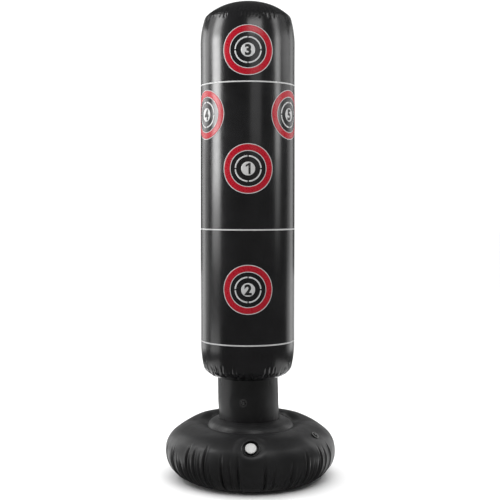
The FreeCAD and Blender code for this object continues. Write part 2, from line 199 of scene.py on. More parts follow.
class Puckers:
    """Sharp radial folds on a turned skin that run away from a seam.

    Count folds stand at uneven spacing, and extra ones at the given degrees, stronger than the
    rest. Depth, width and reach are in metres; lean turns a fold's far end, in radians.
    """

    EXTRA_STRENGTH = 1.5
    EXTRA_REACH = 0.98
    TIP = 0.6 * MM
    LIP = 0.22
    FADE = 0.42

    def __init__(self, seed, count, depth, width, reach, lean=0.02, extra=()):
        rng = np.random.default_rng(seed)
        spots = 2 * np.pi * (np.arange(count) + rng.uniform(-0.42, 0.42, count)) / count
        strength = rng.uniform(0.25, 1, count) ** 1.6
        self.folds = []
        for spot, strong in zip(spots, strength):
            self.folds.append(self.fold(rng, spot, strong, depth, width, reach, lean))
        far = reach * self.EXTRA_REACH
        for spot in np.radians(extra):
            self.folds.append(self.fold(rng, spot, self.EXTRA_STRENGTH, depth, width, far, lean))

    @staticmethod
    def fold(rng, spot, strong, depth, width, reach, lean):
        return (
            spot,
            strong * depth,
            width * rng.uniform(0.6, 1.5),
            reach * rng.uniform(0.6, 1.0) * (0.5 + 0.5 * min(strong, 1)),
            rng.normal(0, lean),
        )

    def push(self, turn, away, radius):
        """Offset along the skin's normal; away is the distance from the seam along the skin."""
        total = np.zeros(np.broadcast(turn, away).shape)
        for spot, depth, width, reach, lean in self.folds:
            part = away / reach
            rows = np.flatnonzero(((part > -0.02) & (part < 1)).any(axis=1))
            part = part[rows]
            gap = np.abs(round_gap(turn, spot + lean * part)) * radius
            wide = width * (0.8 + 0.6 * np.clip(part, 0, 1))
            valley = np.exp(-np.hypot(gap, self.TIP) / wide)
            lips = self.LIP * np.exp(-(((gap - 2.6 * wide) / (1.3 * wide)) ** 2))
            total[rows] += depth * smooth((1 - part) / self.FADE) * (lips - valley)
        return total


def ridge(distance, width, height):
    """A low rounded ridge, or a groove if height is negative."""
    return height * np.exp(-((distance / width) ** 2))


def swayed(points, share=1.0):
    """Points of an upright skin, moved along X with the bag's lean."""
    heights, shifts = np.array(SWAY).T
    points = np.array(points)
    points[..., 0] += np.interp(points[..., 2], heights, shifts) * MM * share
    return points


def near(points, place, radius, depth=60 * MM):
    """1 close to the axis of a place, falling to 0 at twice the radius, on this side of the bag."""
    local = (np.array(points) - np.array(place.translation)) @ np.array(place.to_3x3())
    away = np.hypot(local[..., 0], local[..., 1])
    return smooth(2 - away / radius) * (np.abs(local[..., 2]) < depth)


def seated(points, place, radius, height):
    """Points drawn to one height round a place, so that the skin lies flat under a fitting."""
    out = np.array(place.to_3x3())[:, 2]
    rise = (points - np.array(place.translation)) @ out
    share = near(points, place, radius) * (np.abs(rise) < 2 * radius)
    return points + ((height - rise) * share)[..., None] * out


def back_weld(turn, radius, seam=180):
    """The overlap of a panel's two ends, a flat step a little thicker than the rest."""
    gap = np.abs(round_gap(turn, math.radians(seam))) * radius
    return 0.5 * MM * smooth((7 * MM - gap) / (1.5 * MM))


# ---- Meshes ----

HOLE_DEPTH = 40 * MM


def piece_of(name, data, body, material):
    """An object of smooth mesh data that rides on a body, or on none yet."""
    data.shade_smooth()
    piece = bpy.data.objects.new(name, data)
    bpy.context.collection.objects.link(piece)
    data.materials.append(material)
    if body:
        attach(piece, body)
    return piece


def mesh_object(name, vertices, faces, body, material):
    data = bpy.data.meshes.new(name)
    data.from_pydata([tuple(v) for v in vertices], [], faces)
    data.update()
    return piece_of(name, data, body, material)


def finished(mesh, name, body, material):
    """A piece from a bmesh, which is freed."""
    data = bpy.data.meshes.new(name)
    mesh.to_mesh(data)
    mesh.free()
    return piece_of(name, data, body, material)


def turns(slices):
    return np.arange(slices) * 2 * np.pi / slices


def turned_points(line, slices, push=None):
    """Rows of points turned about Z from one profile, or from one for each slice.

    push gives each point's offset along the skin's normal from its turn, its distance along the
    profile, its radius and its height.
    """
    line = np.asarray(line)
    if line.ndim == 2:
        line = line[:, None, :]
    turn = turns(slices)
    steps = np.linalg.norm(np.diff(line, axis=0), axis=2)
    along = np.concatenate([np.zeros((1, steps.shape[1])), np.cumsum(steps, axis=0)])
    tangent = np.gradient(line, axis=0)
    tangent /= np.linalg.norm(tangent, axis=2)[..., None]
    r, z = line[..., 0], line[..., 1]
    offset = np.zeros((len(line), slices))
    if push is not None:
        offset = np.broadcast_to(push(turn[None, :], along, r, z), offset.shape)
    r = r + tangent[..., 1] * offset
    z = z - tangent[..., 0] * offset
    return np.stack([r * np.sin(turn), -r * np.cos(turn), z + 0 * r], axis=-1)


def grid_faces(rows, columns, closed=True):
    faces = []
    for low in range(0, (rows - 1) * columns, columns):
        high = low + columns
        for j in range(columns if closed else columns - 1):
            k = (j + 1) % columns
            faces.append((low + j, low + k, high + k, high + j))
    return faces


def skin(name, points, body, material, place=None, holes=()):
    """A piece from rows of turned points, open round each hole; a row on the axis is one point."""
    rows, columns = points.shape[:2]
    mesh = bmesh.new()
    for position in points.reshape(-1, 3):
        mesh.verts.new(position)
    mesh.verts.ensure_lookup_table()
    for face in grid_faces(rows, columns):
        mesh.faces.new([mesh.verts[i] for i in face])
    bmesh.ops.remove_doubles(mesh, verts=mesh.verts, dist=1e-6)
    if place is not None:
        bmesh.ops.transform(mesh, matrix=place, verts=mesh.verts)
    for hole, radius in holes:
        inverse = hole.inverted()
        local = [(v, inverse @ v.co) for v in mesh.verts]
        inside = [v for v, at in local if at.xy.length < radius and abs(at.z) < HOLE_DEPTH]
        bmesh.ops.delete(mesh, geom=inside, context="VERTS")
    return finished(mesh, name, body, material)


# ---- Materials ----

RIPPLE, GRAIN, INK_GRAIN = 0.6 * MM, 0.04 * MM, 0.01 * MM


class Nodes:
    """Short ways to add and link the nodes of one material."""

    def __init__(self, name, color, roughness):
        self.material = bpy.data.materials.new(name)
        self.material.use_nodes = True
        self.tree = self.material.node_tree
        self.shader = self.tree.nodes["Principled BSDF"]
        self.shader.inputs["Base Color"].default_value = (*color, 1)
        self.shader.inputs["Roughness"].default_value = roughness
        self.place = self.add("ShaderNodeTexCoord").outputs["Object"]

    def add(self, kind, **values):
        node = self.tree.nodes.new(kind)
        for name, value in values.items():
            node.inputs[name.replace("_", " ").title()].default_value = value
        return node

    def link(self, source, target):
        self.tree.links.new(source, target)

    def noise(self, scale, detail=3, stretch=(1, 1, 1)):
        """Noise whose cells are about 1 / scale metres, squeezed along each axis by stretch."""
        mapping = self.add("ShaderNodeMapping")
        mapping.inputs["Scale"].default_value = stretch
        self.link(self.place, mapping.inputs["Vector"])
        noise = self.add("ShaderNodeTexNoise", scale=scale, detail=detail)
        self.link(mapping.outputs["Vector"], noise.inputs["Vector"])
        return noise.outputs["Fac"]

    def spread(self, source, low, high, between=(0.3, 0.7)):
        """The source's range between two values, stretched over low to high."""
        node = self.add("ShaderNodeMapRange")
        node.inputs["From Min"].default_value, node.inputs["From Max"].default_value = between
        node.inputs["To Min"].default_value, node.inputs["To Max"].default_value = low, high
        self.link(source, node.inputs["Value"])
        return node.outputs["Result"]

    def roughness(self, source, low, high):
        self.link(self.spread(source, low, high), self.shader.inputs["Roughness"])

    def colour(self, source, first, second, between=(0.3, 0.7)):
        mix = self.add("ShaderNodeMix")
        mix.data_type = "RGBA"
        mix.inputs[6].default_value = (*first, 1)
        mix.inputs[7].default_value = (*second, 1)
        self.link(self.spread(source, 0, 1, between), mix.inputs["Factor"])
        self.link(mix.outputs[2], self.shader.inputs["Base Color"])

    def bump(self, source, depth, strength):
        """Bumps of a depth in metres from the source, over the whole material."""
        bump = self.add("ShaderNodeBump", strength=strength, distance=depth)
        self.link(source, bump.inputs["Height"])
        self.link(bump.outputs["Normal"], self.shader.inputs["Normal"])


def grey(value):
    return (value, value, value)


def vinyl(name, color, gloss):
    """Calendered PVC sheet: near black, with faint scuffs and ripples; gloss is its roughness."""
    n = Nodes(name, color, gloss)
    dusty = tuple(c * 1.7 + 0.0012 for c in color)
    n.colour(n.noise(9, 5), color, dusty)
    n.roughness(n.noise(40, 5), gloss * 0.9, gloss * 1.15)
    n.bump(n.noise(14, 2, (1, 1, 0.35)), RIPPLE, 0.5)
    n.shader.inputs["IOR"].default_value = 1.5
    return n.material


def ink(name, color, worn):
    """Screen-printed ink with slight mottling, a little duller than the sheet beneath."""
    n = Nodes(name, color, 0.27)
    n.colour(n.noise(120, 6), color, worn, (0.42, 0.75))
    n.shader.inputs["Specular IOR Level"].default_value = 0.33
    n.roughness(n.noise(300, 3), 0.24, 0.32)
    n.bump(n.noise(400, 2), INK_GRAIN, 0.4)
    return n.material


def moulded(name, color, roughness):
    """Injection-moulded plastic with a fine satin grain."""
    n = Nodes(name, color, roughness)
    n.colour(n.noise(60, 4), color, tuple(c * 0.86 for c in color))
    n.roughness(n.noise(500, 3), roughness * 0.85, roughness * 1.2)
    n.bump(n.noise(1600, 2), GRAIN, 0.6)
    return n.material


COLUMN_SKIN = vinyl("glossy_vinyl", (0.0052, 0.0052, 0.0055), 0.21)
BASE_SKIN = vinyl("satin_vinyl", (0.0075, 0.0075, 0.0078), 0.38)
RED_INK = ink("red_ink", (0.31, 0.004, 0.014), (0.26, 0.004, 0.011))
WHITE_INK = ink("white_ink", grey(0.43), grey(0.38))
BLACK_INK = ink("black_ink", grey(0.012), grey(0.018))
BLACK_MOULDED = moulded("black_moulded", grey(0.010), 0.3)
# Dark grey valve plastic, lighter than the black parts: partly the plastic's own grey and partly a
# painted highlight for the light the valves catch.
VALVE_PLASTIC_AND_HIGHLIGHT = moulded("valve_plastic_and_highlight", grey(0.036), 0.20)
WHITE_MOULDED = moulded("white_moulded", (0.54, 0.54, 0.53), 0.35)


def clear_water():
    """Water with a faint tint."""
    n = Nodes("clear_water", (0.75, 0.88, 0.92), 0.04)
    n.shader.inputs["Transmission Weight"].default_value = 1
    n.shader.inputs["IOR"].default_value = 1.33
    n.bump(n.noise(6, 2), 0.8 * MM, 0.4)
    return n.material


WATER = clear_water()


# ---- Base and collar ----

# Where the folds of the base stand, in degrees from the front.
FRONT_FOLDS = (-66, -62.5, -52.5, -47, -39.5, -32, -18.8, -8.1, 9.6, 28.9, 40, 50.8, 54, 67)
BACK_FOLDS = (81, 92, 104, 111, 124, 137, 149, 156, 170, 183)
BACK_FOLDS += (196, 203, 217, 229, 236, 248, 259, 271, 282)
SHORT_FOLDS = (-57, -43.5, -35.5, -28, -13.2, 15.4, 33.5, 45.3, 60)
BASE_FOLDS = Puckers(4, 0, 6.4 * MM, 2.3 * MM, 0.225, 0.010, FRONT_FOLDS + BACK_FOLDS)
BASE_PUCKERS = Puckers(8, 74, 3.4 * MM, 1.9 * MM, 0.200, 0.012, SHORT_FOLDS)
BASE_FINE_PUCKERS = Puckers(9, 150, 1.1 * MM, 1.4 * MM, 0.190, 0.01)
CREASE_PUCKERS = Puckers(12, 60, 0.7 * MM, 3.0 * MM, 0.030, 0.03)
COLLAR_PUCKERS = Puckers(17, 40, 0.35 * MM, 3.0 * MM, 0.030, 0.03)
SKIN_STEP = 2.0 * MM
EASED_ROWS = 5
# The back's profile holds where the turn's cosine is less than this.
BACK_COSINE = -0.62


def softened(line, rows):
    """The same line with its bends eased over a number of rows; its ends stay."""
    weight = np.exp(-(np.linspace(-2, 2, 2 * rows + 1) ** 2))
    weight /= weight.sum()
    before = 2 * line[0] - line[rows:0:-1]
    after = 2 * line[-1] - line[-2 : -rows - 2 : -1]
    ends = np.vstack([before, line, after])
    return np.stack([np.convolve(ends[:, k], weight, "valid") for k in (0, 1)], axis=1)


def base_lines(slices):
    """The base's profile for each slice: the crest is lower and wider in front than at the back."""
    flank = profile(
        [
            (BOTTOM_R, FLOOR + 0.8 * MM),
            (BELLY_R - 1.5 * MM, BELLY_Z, BELLY_ARC),
            (*HAUNCH, HAUNCH_ARC),
        ],
        SKIN_STEP,
    )
    crest = (CREST_R, CREST_Z, 161 * MM)
    crease = (CREASE_R, CREASE_Z, 31 * MM)
    back = profile([HAUNCH, crest, crease], SKIN_STEP)
    front = profile([HAUNCH, (CREASE_R, CREASE_Z, 116 * MM)], SKIN_STEP)
    where = np.linspace(0, len(front) - 1, len(back))
    front = np.stack([np.interp(where, np.arange(len(front)), front[:, k]) for k in (0, 1)], axis=1)
    back = softened(np.vstack([flank, back[1:]]), EASED_ROWS)
    front = softened(np.vstack([flank, front[1:]]), EASED_ROWS)
    share = smooth((np.cos(turns(slices)) - BACK_COSINE) / 0.5)[None, :, None]
    return back[:, None, :] * (1 - share) + front[:, None, :] * share


def base_push(turn, along, r, z):
    """Folds from the foot's weld and from the crease, and a slight plumpness between them."""
    length = along[-1].max()
    rise = 0.35 + 0.65 * smooth(along / (25 * MM))
    folds = BASE_FOLDS.push(turn, along, BELLY_R) + BASE_PUCKERS.push(turn, along, BELLY_R)
    fine = BASE_FINE_PUCKERS.push(turn, along, BELLY_R)
    crease = CREASE_PUCKERS.push(turn, length - along, CREASE_R)
    wave = 1.0 * MM * np.sin(3 * turn + 0.7) * np.sin(np.pi * along / length)
    plump = 1.5 * MM * np.sin(np.pi * np.clip(along / (0.6 * length), 0, 1))
    return folds * rise + fine + crease + wave + plump + back_weld(turn, r)


def base_skin():
    slices = 1440
    points = turned_points(base_lines(slices), slices, base_push)
    points[..., 2] = np.maximum(points[..., 2], FLOOR + 0.3 * MM)
    share = 1 - near(points, BASE_VALVE_PLACE, 42 * MM)
    points = seated(swayed(points, share), PORT_PLACE, PORT_DISH + 4 * MM, -0.8 * MM)
    holes = ((PORT_PLACE, PORT_DISH + 2.5 * MM), (BASE_VALVE_PLACE, VALVE_HOLE))
    piece = skin("base_inflated_skin", points, "base", BASE_SKIN, None, holes)
    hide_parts("base_top_skin")


def water():
    """The water ballast, a little inside the folds of the skin, and the disc that closes it in."""
    level = high_z("water_ballast")
    inside = 12 * MM
    line = profile(
        [
            (0, FLOOR + 3 * MM),
            (BOTTOM_R - inside, FLOOR + 3 * MM),
            (BELLY_R - inside, level, BELLY_ARC - inside),
            (0, level),
        ],
        4 * MM,
    )
    piece = skin("water_ballast_fill", turned_points(line, 180), "base", WATER)
    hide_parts("water_ballast")
    edge = CREASE_R - 6 * MM
    height = low_z("chamber_floor")
    top = height + 0.6 * MM
    disc = profile([(0, height), (edge, height), (edge, top), (0, top)], 2 * MM)
    piece = skin("chamber_floor_disc", turned_points(disc, 180), "base", BASE_SKIN)
    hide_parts("chamber_floor")


def base_floor_panel():
    """Flat bottom panel with the ring of its weld."""
    weld = 8 * MM
    under = FLOOR + 0.1 * MM
    corners = [(0, under), (BOTTOM_R - 1 * MM, under), (BOTTOM_R, under + 0.8 * MM)]
    line = profile(corners, SKIN_STEP)

    def push(turn, along, r, z):
        return -0.4 * MM * smooth((BOTTOM_R - weld - r) / (1.5 * MM))

    points = swayed(turned_points(line, 360, push))
    piece = skin("base_floor_panel", points, "base", BASE_SKIN)
    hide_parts("base_bottom_panel")


def collar():
    """Crowned ring whose outer edge sits in the crease, with the bead of the neck's weld inside."""
    line = profile(
        [
            (CREASE_R + 2.5 * MM, CREASE_Z - 1.5 * MM),
            (CREASE_R, CREASE_Z + 0.6 * MM),
            (NECK_R, NECK_LOW, 44 * MM),
            (NECK_R - 6 * MM, NECK_LOW + 1 * MM),
        ],
        1.2 * MM,
    )

    def push(turn, along, r, z):
        bead = ridge(r - NECK_R - 3 * MM, 2.2 * MM, 1.8 * MM)
        wrinkles = COLLAR_PUCKERS.push(turn, CREASE_R - r, CREASE_R)
        return bead + wrinkles + back_weld(turn, r, 176)

    piece = skin("neck_collar_skin", swayed(turned_points(line, 720, push)), "base", BASE_SKIN)
    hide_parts("neck_collar")


# ---- Neck ----

NECK_TOP_PUCKERS = Puckers(21, 34, 0.9 * MM, 3.5 * MM, 0.035, 0.03)
NECK_FOOT_PUCKERS = Puckers(22, 40, 0.6 * MM, 3.0 * MM, 0.025, 0.03)


def neck_push(turn, along, r, z):
    top = NECK_TOP_PUCKERS.push(turn, NECK_HIGH - z, NECK_R)
    foot = NECK_FOOT_PUCKERS.push(turn, z - NECK_LOW, NECK_R)
    middle = 0.8 * MM * (1 - ((z - NECK_PIVOT) / (NECK_HIGH - NECK_PIVOT)) ** 2)
    return top + foot + middle - 0.4 * MM + back_weld(turn, r, 178)


def neck_sleeve():
    """One sleeve in two halves, split at the height of the neck's pivot; neither half rides on a
    body.
    """
    line = profile([(NECK_R, NECK_LOW), (NECK_R, NECK_HIGH)], 1.2 * MM)
    middle = int(np.argmin(np.abs(line[:, 1] - NECK_PIVOT)))
    points = turned_points(line, 720, neck_push)
    points = swayed(points, 1 - near(points, NECK_VALVE_PLACE, 24 * MM))
    holes = ((NECK_VALVE_PLACE, VALVE_HOLE),)
    low = skin("neck_sleeve_lower", points[: middle + 1], None, BASE_SKIN, None, holes)
    high = skin("neck_sleeve_upper", points[middle:], None, BASE_SKIN, None, holes)
    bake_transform(low)
    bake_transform(high)
    for piece in (low, high):
        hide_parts("neck_sleeve")


# ---- Column ----

TOP_WALL_PUCKERS = Puckers(31, 90, 1.3 * MM, 2.0 * MM, 0.032, 0.02)
TOP_CAP_PUCKERS = Puckers(31, 90, 2.9 * MM, 1.9 * MM, 0.050, 0.05)
LOW_WALL_PUCKERS = Puckers(37, 76, 2.3 * MM, 2.2 * MM, 0.040, 0.02)
LOW_CAP_PUCKERS = Puckers(37, 76, 4.4 * MM, 2.4 * MM, 0.052, 0.10)
# The folds of the end panels reach their full depth this far from the seam.
SEAM_RISE = 6 * MM


def column_line():
    return profile(
        [
            (NECK_R, NECK_HIGH),
            (LOWER_SEAM_R, WALL_LOW, 105 * MM),
            (COLUMN_R, STRAIGHT_FROM, 296 * MM),
            (COLUMN_R, STRAIGHT_TO),
            (UPPER_SEAM_R, WALL_HIGH, 290 * MM),
            (*SHOULDER, 178.8 * MM),
            (8 * MM, TOP, 205.5 * MM),
            (0, TOP),
        ],
        SKIN_STEP,
    )


COLUMN_LINE = column_line()
COLUMN_STEPS = distances(COLUMN_LINE)
LOW_SEAM_ROW = int(np.argmin(np.abs(COLUMN_LINE[:, 1] - WALL_LOW)))
HIGH_SEAM_ROW = int(np.argmin(np.abs(COLUMN_LINE[:, 1] - WALL_HIGH)))


def column_wave(turn, z):
    """The slight waviness of the straight wall, gone at both ends."""
    wave = 0.5 * MM * np.sin(2 * turn + 5 * z) * smooth((z - STRAIGHT_FROM) / 0.1)
    return wave * smooth((STRAIGHT_TO - z) / 0.1)


def column_push(turn, along, r, z):
    from_low = along - COLUMN_STEPS[LOW_SEAM_ROW]
    from_high = along - COLUMN_STEPS[HIGH_SEAM_ROW]
    top_cap = TOP_CAP_PUCKERS.push(turn, from_high, UPPER_SEAM_R)
    low_cap = LOW_CAP_PUCKERS.push(turn, -from_low, LOWER_SEAM_R)
    upper = np.where(
        from_high < 0,
        TOP_WALL_PUCKERS.push(turn, -from_high, UPPER_SEAM_R),
        top_cap * (0.6 + 0.4 * smooth(from_high / SEAM_RISE)),
    )
    lower = np.where(
        from_low > 0,
        LOW_WALL_PUCKERS.push(turn, from_low, LOWER_SEAM_R),
        low_cap * (0.4 + 0.6 * smooth(-from_low / SEAM_RISE)),
    )
    seams = ridge(from_low, 1.6 * MM, -1.0 * MM) + ridge(from_high, 1.6 * MM, -1.0 * MM)
    weld = back_weld(turn, r) * (r > 0.05)
    return upper + lower + seams + column_wave(turn, z) + weld


def column():
    points = swayed(turned_points(COLUMN_LINE, 1440, column_push))
    parts = (
        ("column_lower_panel", points[: LOW_SEAM_ROW + 1], "column_bottom_panel"),
        ("column_inflated_wall", points[LOW_SEAM_ROW : HIGH_SEAM_ROW + 1], "column_wall"),
        ("column_upper_panel", points[HIGH_SEAM_ROW:], "column_top_panel"),
    )
    for name, rows, node in parts:
        piece = skin(name, rows, "column", COLUMN_SKIN)
        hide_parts(node)


def on_column(turn, z, lift):
    """Points at an angle and height, lifted off the column's wall."""
    line = COLUMN_LINE[LOW_SEAM_ROW : HIGH_SEAM_ROW + 1]
    r = np.interp(z, line[:, 1], line[:, 0])
    r = r + column_wave(turn, z) + lift
    return swayed(np.stack([r * np.sin(turn), -r * np.cos(turn), z], axis=-1))


# ---- Prints ----

FILM_LIFT = 0.12 * MM
FILM = 0.12 * MM
STRIPE_HALF = 2.2 * MM
# Each target: degrees from the front and height of its middle. STRETCH widens its marks.
STRETCH = 1.025
TARGETS = {1: (0.7, 1.040), 2: (0.6, 0.648), 3: (0.6, 1.420), 4: (-58.8, 1.218), 5: (59.2, 1.218)}
TARGET_R = 81 * MM
OUTLINE = 2.2 * MM
RED_INNER = 59 * MM
DASH_OUTER, DASH_INNER, DASH_GAP = 43 * MM, 38.4 * MM, 4.2 * MM
DISC_R = 22.2 * MM
PRINT_STEP, HUB_R = 2.5 * MM, 0.05 * MM
DIGIT_HEIGHT, DIGIT_BOLDNESS, DIGIT_STRIP = 36 * MM, 0.045, 3 * MM
ONE = ((0.19, -0.5), (0.19, 0.5), (0.03, 0.5), (-0.24, 0.32), (-0.24, 0.14), (0, 0.27), (0, -0.5))


def thicken(piece, depth):
    solid = piece.modifiers.new("film", "SOLIDIFY")
    solid.thickness = depth
    solid.offset = -1
    return piece


def stripe(node):
    low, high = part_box(node)
    middle = (low[2] + high[2]) / 2
    turn = turns(720)
    rows = np.array([middle - STRIPE_HALF, middle, middle + STRIPE_HALF])
    points = on_column(*np.meshgrid(turn, rows), FILM_LIFT + FILM)
    piece = thicken(skin(f"{node}_print", points, "column", WHITE_INK), FILM)
    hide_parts(node)


def ring_sheet(outer, inner, start=0.0, end=360.0):
    """Flat (x, z) points and faces of a ring or a part of one."""
    closed = end - start >= 360
    steps = max(3, round(math.radians(end - start) * outer / PRINT_STEP))
    bands = max(1, round((outer - inner) / PRINT_STEP))
    angles = np.radians(np.linspace(start, end, steps + 1))
    if closed:
        angles = angles[:-1]
    radii = np.linspace(outer, max(inner, HUB_R), bands + 1)
    points = np.stack([radii[:, None] * np.cos(angles), radii[:, None] * np.sin(angles)], axis=-1)
    faces = [f[::-1] for f in grid_faces(bands + 1, len(angles), closed)]
    if closed and inner == 0:
        faces.append(tuple(bands * len(angles) + i for i in range(len(angles))))
    return points.reshape(-1, 2), faces


def joined(sheets):
    points, faces = [], []
    for sheet_points, sheet_faces in sheets:
        faces += [tuple(i + len(points) for i in face) for face in sheet_faces]
        points += list(sheet_points)
    return np.array(points), faces


def dashes():
    """The broken white ring: four arcs with a gap at the top, the bottom and each side."""
    gap = math.degrees(DASH_GAP / 2 / ((DASH_OUTER + DASH_INNER) / 2))
    return [ring_sheet(DASH_OUTER, DASH_INNER, 90 * k + gap, 90 * (k + 1) - gap) for k in range(4)]


def print_on_column(name, flat, faces, centre, lift, material, slot):
    turn = math.radians(centre[0]) + STRETCH * flat[:, 0] / COLUMN_R
    points = on_column(turn, centre[1] + flat[:, 1], lift)
    piece = thicken(mesh_object(name, points, faces, "column", material), FILM)
    return piece


def digit_sheet(digit):
    """Flat points and faces of a bold digit, cut into upright strips so that it can bend."""
    mesh = bmesh.new()
    if digit == 1:
        mesh.faces.new([mesh.verts.new((x, y, 0)) for x, y in ONE])
    else:
        text = bpy.data.curves.new(f"digit_{digit}", "FONT")
        text.body = f"{digit}"
        text.size = 1
        text.offset = DIGIT_BOLDNESS
        text.resolution_u = 12
        carrier = bpy.data.objects.new(f"digit_{digit}", text)
        bpy.context.collection.objects.link(carrier)
        bpy.context.view_layer.update()
        mesh.from_mesh(bpy.data.meshes.new_from_object(carrier))
        bpy.data.objects.remove(carrier)
    low = [min(v.co[k] for v in mesh.verts) for k in (0, 1)]
    high = [max(v.co[k] for v in mesh.verts) for k in (0, 1)]
    scale = DIGIT_HEIGHT / (high[1] - low[1])
    for vertex in mesh.verts:
        vertex.co.x = (vertex.co.x - (low[0] + high[0]) / 2) * scale
        vertex.co.y = (vertex.co.y - (low[1] + high[1]) / 2) * scale
    for x in np.arange(-DISC_R, DISC_R, DIGIT_STRIP):
        everything = mesh.verts[:] + mesh.edges[:] + mesh.faces[:]
        bmesh.ops.bisect_plane(mesh, geom=everything, plane_co=(x, 0, 0), plane_no=(1, 0, 0))
    bmesh.ops.dissolve_degenerate(mesh, edges=mesh.edges, dist=1e-6)
    mesh.verts.index_update()
    points = np.array([(v.co.x, v.co.y) for v in mesh.verts])
    faces = [tuple(v.index for v in f.verts) for f in mesh.faces if f.calc_area() > 1e-10]
    mesh.free()
    return points, faces


def target(number):
    centre = TARGETS[number]
    red = print_on_column(
        f"target_{number}_red_print",
        *ring_sheet(TARGET_R - OUTLINE, RED_INNER),
        centre,
        FILM_LIFT + FILM,
        RED_INK,
        "print_red",
    )
    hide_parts(f"target_{number}_red_ring")
    rings = [
        ring_sheet(TARGET_R, TARGET_R - OUTLINE),
        ring_sheet(RED_INNER, RED_INNER - OUTLINE),
        *dashes(),
        ring_sheet(DISC_R, 0),
    ]
    white = print_on_column(
        f"target_{number}_white_print",
        *joined(rings),
        centre,
        FILM_LIFT + FILM,
        WHITE_INK,
        "print_white",
    )
    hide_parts(f"target_{number}_white_marks")
    print_on_column(
        f"target_{number}_digit",
        *digit_sheet(number),
        centre,
        FILM_LIFT + 2.5 * FILM,
        BLACK_INK,
        "skin_black",
    )


# ---- Filling port ----


def turned_piece(name, corners, body, material, place, slices=128, push=None, spacing=0.35 * MM):
    points = turned_points(profile(corners, spacing), slices, push)
    return skin(name, points, body, material, place)


def port():
    """Black moulded dish with a round bead, welded under the skin, and the cap's gasket."""
    groove, bottom = PORT_FLOOR - 6 * MM, -16 * MM
    socket = turned_piece(
        "filling_port_socket",
        [
            (PORT_LIP + 3 * MM, -6 * MM),
            (PORT_DISH + 5 * MM, -1.6 * MM),
            (PORT_DISH + 2.6 * MM, 1.3 * MM, 3.2 * MM),
            (PORT_DISH, -0.2 * MM, 2.6 * MM),
            (PORT_DISH - 0.4 * MM, groove),
            (CAP_R - 1.6 * MM, groove),
            (CAP_R - 1.6 * MM, PORT_FLOOR),
            (PORT_BORE + 1 * MM, PORT_FLOOR),
            (PORT_BORE, PORT_FLOOR - 1 * MM, 1.5 * MM),
            (PORT_BORE, bottom),
            (0, bottom),
        ],
        "base",
        BLACK_MOULDED,
        PORT_PLACE,
        192,
    )
    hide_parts("port_socket")
    inner, outer = PORT_BORE + 0.3 * MM, CAP_R - 2 * MM
    low, high = PORT_FLOOR + 0.2 * MM, PORT_FLOOR + 1.2 * MM
    gasket = turned_piece(
        "filling_port_gasket",
        [(inner, low), (outer, low), (outer, high, 0.8 * MM), (inner, high), (inner, low)],
        "cap_gasket",
        BLACK_MOULDED,
        PORT_PLACE,
    )
    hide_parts("port_gasket")


def cap_push(turn, along, r, z):
    """Grip ribs round the cap's side."""
    side = smooth((r - (CAP_R - 1.2 * MM)) / (0.6 * MM)) * (z > PORT_FLOOR + 1.5 * MM)
    return side * 0.35 * MM * (np.cos(36 * turn) - 1)


def port_cap():
    foot = PORT_FLOOR + 1.5 * MM
    head = foot + 3.8 * MM
    cap = turned_piece(
        "filling_port_cap",
        [
            (0, -15.5 * MM),
            (12.2 * MM, -15.5 * MM),
            (12.6 * MM, -15 * MM),
            (12.6 * MM, foot),
            (CAP_R - 0.4 * MM, foot),
            (CAP_R, foot + 0.5 * MM),
            (CAP_R, head - 1.4 * MM),
            (CAP_R - 1.4 * MM, head, 1.4 * MM),
            (CAP_R - 3.4 * MM, head),
            (CAP_R - 4.2 * MM, head - 0.7 * MM),
            (0, head - 0.7 * MM),
        ],
        "port_cap",
        WHITE_MOULDED,
        PORT_PLACE,
        216,
        cap_push,
    )
    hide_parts("port_cap")


def bar_piece(name, half, middle, body, material, place):
    """A bar with rounded edges, from half its size and its middle in the place's frame."""
    mesh = bmesh.new()
    bmesh.ops.create_cube(mesh, size=2)
    bmesh.ops.scale(mesh, vec=half, verts=mesh.verts)
    bmesh.ops.bevel(
        mesh, geom=mesh.edges[:], offset=min(half) * 0.6, segments=4, affect="EDGES", profile=0.5
    )
    bmesh.ops.translate(mesh, vec=middle, verts=mesh.verts)
    bmesh.ops.transform(mesh, matrix=place, verts=mesh.verts)
    return finished(mesh, name, body, material)


# ---- Air valves ----


